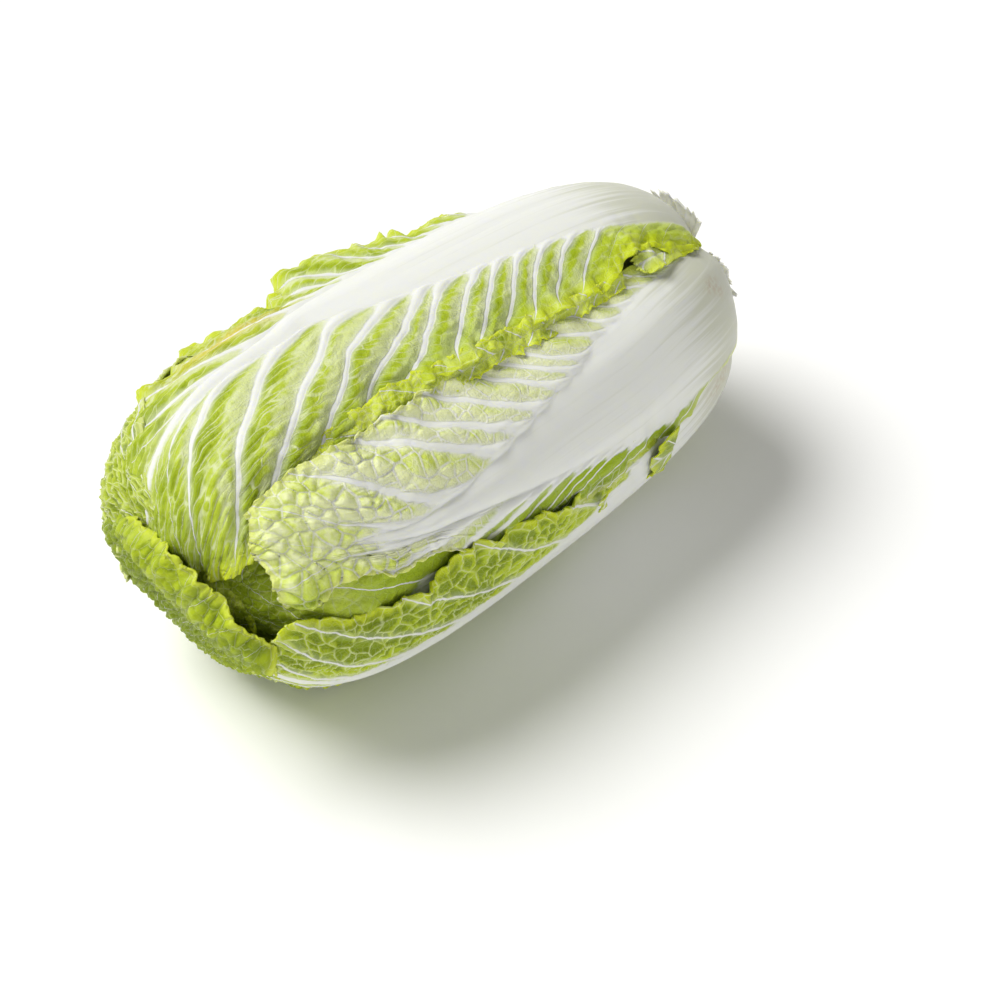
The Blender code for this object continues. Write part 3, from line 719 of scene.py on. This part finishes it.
# ---------------------------------------------------------------- the head's leaves
WRAPPERS = {
    "back_upper": {
        "grid": (236, 300),
        "seed": 11,
        "end": [(-1, 300), (-0.6, 338), (-0.3, 349), (0.4, 354), (0.7, 350), (1, 336)],
        "centre": [(30, -27), (90, -26), (200, -24), (226, -25), (243, -21), (273, -20), (350, -14)],
        "near": [(30, -60), (90, -60), (110, -60), (119, -64), (132, -63), (141, -59), (150, -63), (180, -64), (204, -66), (213, -57), (250, -57), (290, -51), (322, -43)],
        "far": [(30, 30), (61, 31), (70, 29), (76, 23), (88, 20), (95, 22), (102, 26), (109, 27), (122, 27), (144, 26), (178, 25), (210, 25), (235, 28), (270, 34), (310, 42), (344, 48)],
        "near_tuck": [(90, 0), (110, -2), (122, -6), (138, -5), (155, -8), (170, -14), (186, -17), (203, -16), (213, -5), (250, -3), (300, 0)],
        "near_from": 20.0,
        "near_to": 42.0,
        "far_tuck": [(60, 2), (90, 3.5), (120, 4.5), (200, 5), (240, 8), (270, 10), (344, 6)],
        "far_from": 24.0,
        "far_to": 54.0,
        "lift": [(30, 0), (280, 0), (315, 2.5), (340, 7), (354, 13)],
        "rib": [(30, 34), (70, 37), (84, 36), (96, 33.5), (108, 31.5), (132, 28.5), (154, 25.5), (169, 23.5), (179, 21), (193, 19), (205, 16), (218, 12), (235, 8), (255, 5), (280, 3.4), (320, 1.8)],
        "starts": [58, 72, 84, 95, 108, 121, 133, 144, 154, 169, 179, 193, 209, 235, 267, 290, 310],
        "near_veins": 0.6,
        "vein_stop": 13.0,
        "pillow": [(60, 0.3), (110, 1.0), (200, 1.3)],
        "net": [(60, 0.2), (150, 0.4), (220, 0.7), (300, 0.9)],
        "cells_across": 1.2,
        "cell": [(110, 5.0), (190, 4.2), (240, 3.2), (340, 3.0)],
        "dome": 0.4,
        "blister": [(60, 0.9), (90, 0.8), (120, 0.3), (200, 0.6), (280, 0.9), (340, 1.4)],
        "wrinkle": [(60, 1.0), (90, 0.8), (115, 0.25), (190, 0.35), (280, 0.5), (340, 0.9)],
        "ruffle_near": [(90, 0.8), (150, 1.4), (300, 1.2)],
        "ruffle_far": [(40, 0.2), (62, 0.4), (110, 1.3), (220, 1.3), (260, 0.0)],
        "roll_far": [(60, -0.5), (100, 2.0), (220, 2.0), (250, 0.0)],
        "lateral": [(40, 0.05), (84, 0.05), (96, 0.8), (121, 1.15), (154, 1.4), (170, 1.9), (193, 2.4), (209, 2.8), (235, 2.6), (267, 1.9), (284, 0.6), (340, 0.2)],
        "teeth_near": [(60, 0.0), (100, 0.4), (120, 1.3)],
        "fade": [(285, 1.0), (335, 0.15)],
        "ruffle_tip": 1.5,
        "roll_tip": -2.0,
        "tone": [(60, 0.5), (150, 0.45), (210, 0.35), (250, 0.35), (290, 0.55), (345, 0.9)],
        "yellowing": [(-40, 250, 6, 26, 0.9)],
        # painted shade in the valley under the frilled edge
        "deepening": [(18, 140, 5, 30, 0.3), (17, 195, 6, 34, 0.45), (24, 245, 8, 26, 0.45)],
    },
    "front_middle": {
        "grid": (236, 300),
        "seed": 23,
        "end": [(-1, 304), (-0.5, 310), (0, 311), (0.5, 311), (0.85, 309), (1, 303)],
        "centre": [(30, 57), (93, 58.5), (130, 61.5), (215, 61.5), (237, 60), (255, 58), (271, 54), (288, 49), (316, 43)],
        "near": [(24, 25), (60, 25), (79, 25), (90, 26), (102, 27), (120, 26), (170, 24), (240, 26), (285, 25), (300, 26), (318, 30)],
        "far": [(30, 89), (57, 88), (79, 85), (95, 88), (110, 92), (125, 90), (136, 92), (146, 94), (155, 93), (180, 92), (205, 89), (222, 81), (240, 70), (262, 67), (284, 61), (293, 64), (302, 69), (320, 67)],
        "near_tuck": [(30, 3), (50, 3.5), (80, 5.5), (110, 6.5), (190, 6.5), (220, 6), (250, 3), (316, 1)],
        "near_from": 12.0,
        "near_to": 34.0,
        "far_tuck": [(60, 0), (140, 0), (180, 2), (220, 3.5), (260, 4), (316, 3)],
        "far_from": [(60, 20), (160, 8), (316, 8)],
        "far_to": [(60, 40), (160, 28), (316, 26)],
        "lift": [(30, 0), (150, 0), (220, -2.5), (316, -2)],
        "rib": [(30, 25), (67, 26), (93, 28), (114, 26), (128, 25.5), (148, 19.5), (170, 15.6), (184, 13), (203, 9), (220, 6), (245, 3), (265, 1.2), (285, -3)],
        "starts": [60, 72, 82, 92, 104, 116, 127, 140, 148, 157, 171, 184, 197, 223, 250, 275, 298],
        "near_shift": 0.0,
        "far_slant": 1.9,
        "far_veins": [(100, 0.35), (165, 0.35), (190, 0.9)],
        "lateral": [(60, 0.4), (104, 0.65), (127, 1.0), (148, 1.35), (171, 1.9), (197, 2.4), (223, 2.2), (245, 1.4), (262, 0.5), (298, 0.2)],
        "ruffle_near": [(60, 0.3), (200, 0.3), (230, 0.9), (316, 1.1)],
        "ruffle_far": [(60, 0.1), (90, 0.2), (120, 0.9), (316, 0.6)],
        "roll_near": [(250, 0.0), (290, -3.0)],
        "roll_tip": -5.0,
        "teeth_near": [(60, 1.4), (110, 0.6), (300, 0.8)],
        "teeth_far": [(60, 0.25), (90, 0.5), (110, 1.2), (205, 1.0), (235, 0.4), (300, 0.6)],
        "square_net": True,
        "dome": [(250, 0.3), (275, 0.48)],
        "pillow": [(60, 0.5), (120, 1.2), (250, 1.6), (300, 0.8)],
        "fade": [(252, 1.0), (282, 0.25)],
        # painted shade on the lower wing, which faces down, and near the tip
        "deepening": [(84, 118, 8, 34, 1.0), (80, 165, 7, 30, 0.9), (76, 205, 8, 24, 0.7), (63, 300, 9, 9, 0.35)],
        "cell": 6.2,
        "net": [(60, 0.25), (150, 0.6), (200, 1.1), (250, 1.2), (280, 0.95), (300, 0.7)],
        "blister": [(60, 0.1), (140, 0.4), (200, 0.8), (250, 1.4), (275, 2.3), (320, 2.5)],
        "wrinkle": [(60, 0.1), (150, 0.12), (240, 0.2), (275, 0.4)],
        "crumple": 1.3,
        "tone": [(60, 0.3), (150, 0.2), (230, 0.1), (262, 0.15), (285, 0.3), (305, 0.35)],
        # the lower wing below the midrib is painted darker: painted shade where it faces down
        "far_painted_shade": [(60, 0.9), (190, 0.9), (215, 0.3), (300, 0.2)],
        "blemishes": [(48, 64, 3.5, 5, 0.5), (53, 60, 2.5, 3, 0.35)],
    },
    "front_lower": {
        "grid": (190, 250),
        "seed": 37,
        "end": [(-1, 312), (-0.8, 319), (-0.5, 331), (0, 333), (0.4, 329), (0.7, 318), (1, 290)],
        "lift": [(200, 0), (260, 2), (296, 3), (320, 6), (333, 11)],
        "dents": [(132, 322, 30, 34, 9), (170, 330, 26, 40, 8)],
        "centre": [(30, 122), (200, 122), (322, 118)],
        "near": [(30, 88), (60, 88), (120, 90), (169, 86), (189, 81), (210, 77), (236, 75), (253, 78), (275, 76), (292, 72), (302, 70), (322, 68)],
        "far": [(30, 160), (64, 172), (120, 184), (260, 184), (333, 150)],
        "near_tuck": [(60, 3), (130, 3), (155, 2), (180, -2), (290, -2.5), (322, -1)],
        "near_from": 8.0,
        "near_to": 38.0,
        "far_tuck": [(60, 6.5), (322, 6.5)],
        "far_from": 24.0,
        "far_to": 46.0,
        "rib": [(30, 36), (64, 38), (96, 36), (130, 28), (160, 19), (190, 11), (220, 6), (250, 3.5), (320, 2)],
        "starts": [60, 80, 100, 120, 140, 162, 186, 212, 240, 268, 296],
        "square_net": True,
        "cell": 6.5,
        "ruffle_near": [(60, 0.0), (120, 0.2), (150, 1.0), (322, 1.2)],
        "ruffle_far": 0.0,
        "roll_near": [(150, 0.0), (180, 1.5), (322, 1.5)],
        "lateral": [(60, 0.5), (160, 0.9), (240, 1.0), (300, 0.7)],
        "blister": [(60, 0.1), (140, 0.6), (200, 1.2), (322, 1.6)],
        "blister_sign": -1.0,
        "net": [(60, 0.1), (140, 0.5), (322, 0.7)],
        "tone": [(60, 0.5), (150, 0.8), (322, 0.75)],
        "blemishes": [(98, 66, 5, 12, 0.35)],
    },
    "underside": {
        "grid": (160, 228),
        "seed": 41,
        "end": [(-1, 416), (-0.3, 424), (0.1, 426), (0.35, 425), (0.6, 417), (0.8, 404), (1, 388)],
        "dents": [(252, 345, 24, 50, -6)],
        "centre": [(30, 200), (300, 200)],
        "near": [(30, 160), (64, 150), (260, 146), (300, 146), (345, 147), (383, 155), (400, 159), (424, 165)],
        "far": [(30, 240), (64, 256), (260, 262), (320, 264), (350, 262), (383, 258), (424, 250)],
        "over_pole": (200.0, [(285, 0), (330, -6), (383, -14), (424, -18)]),
        "near_tuck": [(60, 0), (280, 0), (345, -1), (424, -1)],
        "near_from": 10.0,
        "near_to": 50.0,
        "far_tuck": [(60, 6.5), (300, 6.5), (340, -4), (383, -4), (424, 0)],
        "far_from": 10.0,
        "far_to": 44.0,
        "lift": [(30, 0), (250, 1), (300, 9), (340, 18), (370, 18), (395, 10), (412, 1), (426, 1)],
        "square_net": True,
        "cell": 5.5,
        "dome": 0.42,
        "ruffle_near": [(60, 0.0), (250, 0.0), (300, 0.8), (424, 1.0)],
        "ruffle_far": [(60, 0.0), (300, 0.0), (380, 0.8)],
        "ruffle_tip": 0.9,
        "roll_tip": -5.0,
        "teeth": [(13.0, 2.6), (5.0, 1.4)],
        "rib": [(30, 36), (96, 28), (160, 15), (240, 5.5), (300, 2.0), (330, -3)],
        "lateral": [(60, 0.5), (160, 1.1), (240, 0.9), (275, 0.3), (424, 0.15)],
        "tone": [(60, 0.5), (300, 0.8), (370, 1.0), (410, 0.8)],
        "net": [(60, 0.15), (300, 0.5), (400, 0.5), (424, 0.3)],
        "blister": [(60, 0.1), (160, 0.4), (260, 1.0), (330, 2.3), (424, 2.2)],
        "crumple": 1.8,
        "wrinkle": [(60, 0.1), (300, 0.6), (340, 0.8)],
    },
    "back_lower": {
        "grid": (156, 208),
        "seed": 53,
        "end": [(-1, 332), (-0.6, 340), (0, 348), (0.6, 351), (1, 349)],
        "centre": [(30, -98), (348, -92)],
        "near": [(30, -138), (64, -142), (260, -142), (346, -135)],
        "far": [(30, -58), (64, -40), (230, -38), (258, -46), (268, -49), (284, -50), (291, -45), (305, -31), (316, -20), (324, -12), (332, -4), (341, 10)],
        "near_tuck": 0.0,
        "dents": [(-135, 338, 22, 34, 11)],
        "lift": [(240, 0), (300, 3), (330, 4), (351, 11)],
        "far_tuck": [(60, 6.5), (230, 6.5), (256, 2), (268, -6), (280, -5), (296, -2.5), (346, -3)],
        "far_from": [(60, -4), (262, 20), (346, 20)],
        "far_to": [(60, 12), (262, 46), (346, 60)],
        "ruffle_near": 0.0,
        "ruffle_far": [(60, 0.0), (250, 0.0), (285, 0.9), (346, 1.0)],
        "ruffle_tip": 1.2,
        "roll_tip": 2.5,
        "square_net": True,
        "cell": 5.5,
        "rib": [(30, 36), (96, 28), (160, 15), (240, 5.5), (300, 2.4), (335, -3)],
        "fade": [(290, 1.0), (335, 0.2)],
        "blister": [(60, 0.1), (200, 0.8), (280, 1.5), (346, 1.6)],
        "blister_sign": -1.0,
        "net": [(60, 0.15), (200, 0.5), (280, 0.7)],
        "tone": 0.7,
        "crumple": 1.2,
    },
}

RING_LEVELS = [13.0, 24.0, 33.0, 41.0]
RING_STEPS = [5.5, 4.5, 4.0, 3.5]
RING_PETIOLES = [3.2, 2.4, 2.0, 1.7]
RING_ENDS = [342.0, 346.0, 348.0, 350.0]
RING_GRIDS = [(64, 90), (44, 60), (40, 50), (36, 44)]
RING_FIRST = -60.0
RING_TURN = 137.5
LEAVES_PER_RING = 5
# The leaves of the first ring whose tips fold over the pole and close the head
CRUMPLED = {
    "rib": [(30, 24), (100, 18), (180, 9), (260, 3), (300, -3)],
    "lateral": [(60, 0.6), (200, 1.0), (260, 0.5), (290, 0.25)],
    # darker towards the tips: painted shade inside the closed end of the head
    "tone": [(60, 0.45), (300, 0.55), (335, 0.85)],
    "net": [(60, 0.2), (300, 0.6), (340, 0.45)],
    "crumple": 2.4,
    "cell": 5.0,
    "blister": [(60, 0.1), (300, 1.0), (340, 1.4)],
    "wrinkle": [(60, 0.1), (300, 0.9)],
}
CLOSING = {
    (0, 0): {
        "grid": (100, 180),
        "end": [(-1, 376), (0, 392), (1, 376)],
        "over_pole": (-60.0, 0.0),
        "lift": [(30, 0), (300, 0), (340, 5), (392, 10)],
        **CRUMPLED,
    },
    (0, 3): {"end": [(-1, 298), (0, 304), (1, 298)]},
    (0, 4): {"end": [(-1, 298), (0, 304), (1, 298)]},
    (0, 1): {
        "grid": (140, 220),
        "end": [(-1, 380), (0, 404), (1, 380)],
        "over_pole": (12.0, 0.0),
        "lift": [(30, 0), (300, 0), (340, 1), (383, 5), (404, 8)],
        **CRUMPLED,
    },
    (0, 2): {
        "grid": (100, 170),
        "end": [(-1, 370), (0, 396), (1, 370)],
        "over_pole": (84.0, 0.0),
        "lift": [(30, 0), (175, 0), (200, -10.5), (285, -10.5), (320, 4), (383, 14), (396, 14)],
        **CRUMPLED,
        "crumple": 1.4,
        "near_veins": 0.4,
        # painted shade where the front middle leaf overhangs this one
        "deepening": [(72, 255, 14, 42, 0.9)],
    },
}


def add_leaf(name, node, options, material):
    outer, inner, shades, outward = shape_leaf(options)
    made = shell(name, outer, inner, shades, outward)
    made.data.materials.append(material)
    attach(made, "root")
    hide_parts(node)
    return made


LOOKS = {
    "back_upper": {"margin_width": 12.0, "pale": (0.66, 0.73, 0.32), "green": (0.46, 0.57, 0.03), "deep": (0.31, 0.41, 0.006), "halo_share": 0.4, "painted_slope_light": 0.45},
    "front_middle": {
        "pale": (0.76, 0.80, 0.45),
        "green": (0.60, 0.70, 0.11),
        "net_vein": (0.85, 0.86, 0.74),
        "margin": (0.66, 0.71, 0.20),
        "margin_width": 5.0,
        "cell_painted_shading": -0.15,
        "painted_slope_light": -0.25,
    },
    "front_lower": {"cell_painted_shading": 0.5, "pale": (0.60, 0.69, 0.14), "green": (0.47, 0.58, 0.02)},
    "back_lower": {"cell_painted_shading": 0.5, "pale": (0.56, 0.66, 0.14), "margin": (0.66, 0.72, 0.25)},
    "underside": {
        "cell_painted_shading": -0.2,
        "pale": (0.53, 0.62, 0.10),
        "green": (0.40, 0.50, 0.010),
        "margin": (0.60, 0.68, 0.05),
        "margin_width": 5.0,
    },
}


def add_wrappers():
    for name, options in WRAPPERS.items():
        material = leaf_material("leaf_" + name, **LOOKS.get(name, {}))
        add_leaf("outer_leaf_" + name, "wrapper_leaf_" + name, options, material)


def add_inner_leaves():
    material = leaf_material("leaf_inner", pale=(0.64, 0.70, 0.24), green=(0.52, 0.61, 0.06), deep=(0.28, 0.37, 0.008))
    for ring in range(4):
        for number in range(LEAVES_PER_RING):
            middle = RING_FIRST + ring * RING_TURN + number * 360.0 / LEAVES_PER_RING
            options = {
                "grid": RING_GRIDS[ring],
                "seed": 60 + ring * 5 + number,
                "end": [(-1, RING_ENDS[ring] - 12), (0, RING_ENDS[ring]), (1, RING_ENDS[ring] - 12)],
                "centre": middle,
                "near": [(34, middle - 40), (150, middle - 46), (300, middle - 44), (350, middle - 40)],
                "far": [(34, middle + 40), (150, middle + 62), (300, middle + 58), (350, middle + 46)],
                "level": RING_LEVELS[ring],
                "far_tuck": RING_STEPS[ring],
                "petiole": RING_PETIOLES[ring],
                "blade": 0.7,
                "square_net": True,
                "ruffle_near": [(60, 0.0), (260, 0.1), (320, 0.6)],
                "ruffle_far": [(60, 0.0), (260, 0.1), (320, 0.6)],
                "ruffle_tip": 0.8,
                "crumple": 0.5,
                "rib": [(30, 24), (100, 18), (180, 9), (260, 4), (340, 1.5)],
                "tone": 0.3 if ring else 0.45,
            }
            options.update(CLOSING.get((ring, number), {}))
            node = f"inner_leaf_{ring + 1}_{number + 1}"
            add_leaf(f"fine_{node}", node, options, material)


# The torn ends of the leaves that were trimmed off, round the cut: (theta, half span, end arc, inset)
SCRAPS = [(-16.0, 30.0, 40.0, -1.4), (60.0, 26.0, 33.0, -1.0), (150.0, 30.0, 36.0, -1.0), (238.0, 36.0, 38.0, -1.0)]


def add_scraps():
    material = leaf_material("scrap", petiole=(0.86, 0.86, 0.80), vein=(0.90, 0.90, 0.86), margin=(0.86, 0.86, 0.8))
    for number, (middle, half, end, inset) in enumerate(SCRAPS, start=1):
        options = {
            "grid": (60, 24),
            "seed": 90 + number,
            "start": 23.0,
            "end": [(-1, end - 7), (-0.3, end), (0.5, end - 2), (1, end - 6)],
            "centre": middle,
            "near": middle - half,
            "far": middle + half,
            "level": inset,
            "rib": 60.0,
            "rib_height": 0.0,
            "teeth": [(5.0, 6.0), (2.0, 4.5)],
            "teeth_near": 0.0,
            "teeth_far": 0.0,
            "ruffle_near": 0.0,
            "ruffle_far": 0.0,
            "ruffle_tip": 0.5,
            "roll_tip": 2.4,
            "petiole": 0.7,
            "blade": 0.7,
        }
        node = f"trimmed_leaf_base_{number}"
        add_leaf(f"scrap_{number}", node, options, material)


# Torn bits that stand free of their leaves: (name, theta from, theta to, arc from, arc to, inset, tone)
TORN = [
    ("flap", 87.0, 116.0, 111.0, 124.0, -2.0, 0.65),
    ("shred", 89.0, 101.0, 154.0, 158.0, -2.2, 0.7),
    ("rag_upper", 19.0, 30.0, 64.0, 92.0, 3.0, 0.2),
    ("rag_lower", 23.0, 33.0, 80.0, 108.0, 6.0, 0.3),
]


def add_frill():
    """The frilled edge that stands up along the valley between the two upper wrapper leaves."""
    options = {
        "grid": (28, 360),
        "seed": 141,
        "start": 100.0,
        "end": 296.0,
        "centre": [(100, 26.5), (180, 26.5), (215, 26), (250, 26), (296, 28)],
        "near": [(100, 24), (140, 22), (180, 21), (215, 18), (250, 18), (275, 22), (296, 25)],
        "far": [(100, 30), (140, 31.5), (180, 30.5), (215, 29.5), (296, 30)],
        "level": 2.4,
        "lift": [(100, 0.4), (140, 0.4), (165, -0.6), (225, -0.6), (250, 2), (296, 5)],
        "far_tuck": 2.2,
        "far_from": -3.0,
        "far_to": 3.0,
        "rib": -2.0,
        "rib_height": 0.0,
        "web": 0.0,
        "lateral": 0.2,
        "net": 0.6,
        "square_net": True,
        "cell": 3.0,
        "teeth": [(8.0, 2.4), (3.0, 1.4)],
        "ruffle_near": 0.5,
        "ruffle_far": 0.6,
        "crumple": 1.0,
        "wrinkle": 0.8,
        "blister": 0.5,
        "blade": 0.6,
        "tone": 0.45,
    }
    # paler, brighter greens than the other leaves: painted light shining through the thin frill
    material = leaf_material("frill", pale=(0.72, 0.79, 0.22), green=(0.60, 0.71, 0.03), margin=(0.68, 0.77, 0.03), margin_width=2.0)
    add_leaf("frilled_edge", "wrapper_leaf_back_upper", options, material)


def add_torn_bits():
    material = leaf_material("torn")
    for number, (name, near, far, start, end, inset, tone) in enumerate(TORN):
        options = {
            "grid": (40, 40),
            "seed": 120 + 7 * number,
            "start": start,
            "end": [(-1, end - 2), (0, end), (1, end - 1)],
            "centre": (near + far) / 2,
            "near": near,
            "far": far,
            "level": inset,
            "rib": 0.2,
            "rib_height": 0.0,
            "web": 0.0,
            "lateral": 0.3,
            "net": 0.2,
            "teeth": [(7.0, 2.4), (3.0, 1.6)],
            "ruffle_near": 0.8,
            "ruffle_far": 0.8,
            "crumple": 1.6,
            "petiole": 0.6,
            "blade": 0.6,
            "tone": tone,
        }
        add_leaf(f"torn_{name}", "wrapper_leaf_front_middle", options, material)


def add_floor():
    size = 30.0
    mesh = bpy.data.meshes.new("floor")
    mesh.from_pydata(
        [(-size, -size, 0.0), (size, -size, 0.0), (size, size, 0.0), (-size, size, 0.0)],
        [],
        [(0, 1, 2, 3)],
    )
    floor = bpy.data.objects.new("floor", mesh)
    bpy.context.scene.collection.objects.link(floor)
    n = Nodes("floor")
    n.shader.inputs["Base Color"].default_value = (1.0, 1.0, 1.0, 1.0)
    n.shader.inputs["Roughness"].default_value = 0.9
    n.shader.inputs["Specular IOR Level"].default_value = 0.1
    mesh.materials.append(n.material)


# The lights: (name, azimuth and height in degrees, strength, apparent size in degrees, colour)
SUNS = [
    ("key", 123.0, 55.0, 3.0, 36.0, (1.0, 0.995, 0.98)),
    ("front_fill", -115.0, 12.0, 1.05, 60.0, (1.0, 1.0, 1.0)),
]
SKY = 0.25


def add_lights():
    world = bpy.data.worlds.new("studio")
    bpy.context.scene.world = world
    world.use_nodes = True
    background = world.node_tree.nodes["Background"]
    background.inputs["Color"].default_value = (1.0, 1.0, 0.94, 1.0)
    background.inputs["Strength"].default_value = SKY
    for name, azimuth, height, strength, size, colour in SUNS:
        data = bpy.data.lights.new(name, "SUN")
        data.energy = strength
        data.angle = math.radians(size)
        data.color = colour
        sun = bpy.data.objects.new(name, data)
        turn, lift = math.radians(azimuth), math.radians(height)
        towards = Vector((math.cos(lift) * math.cos(turn), math.cos(lift) * math.sin(turn), math.sin(lift)))
        sun.rotation_euler = towards.to_track_quat("Z", "Y").to_euler()
        bpy.context.scene.collection.objects.link(sun)


CAMERA_AZIMUTH = -41.0
CAMERA_ELEVATION = 48.0
CAMERA_DISTANCE = 1.3
CAMERA_LENS = 112.1
AIM_RIGHT = 0.0305
AIM_UP = -0.0288


def add_camera():
    a, e = math.radians(CAMERA_AZIMUTH), math.radians(CAMERA_ELEVATION)
    back = Vector((math.sin(a) * math.cos(e), -math.cos(a) * math.cos(e), math.sin(e)))
    right = Vector((math.cos(a), math.sin(a), 0.0))
    up = back.cross(right)
    centre = Vector((SHIFT_X / 1000.0, SHIFT_Y / 1000.0, AXIS_HEIGHT / 1000.0))
    aim = centre + right * AIM_RIGHT + up * AIM_UP
    data = bpy.data.cameras.new("camera")
    data.lens = CAMERA_LENS
    data.sensor_width = 36.0
    data.clip_end = 50.0
    camera = bpy.data.objects.new("camera", data)
    camera.location = aim + back * CAMERA_DISTANCE
    camera.rotation_euler = back.to_track_quat("Z", "Y").to_euler()
    bpy.context.scene.collection.objects.link(camera)
    bpy.context.scene.camera = camera
    bpy.context.scene.view_settings.view_transform = "Standard"


add_wrappers()
add_inner_leaves()
add_scraps()
add_torn_bits()
add_frill()
stem = plain_material("stem", (0.82, 0.80, 0.68), (0.70, 0.66, 0.50), 90.0)
for node_name in ("core_stem", "heart_bud"):
    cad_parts[node_name].material_slots[0].material = stem
add_floor()
add_lights()
add_camera()
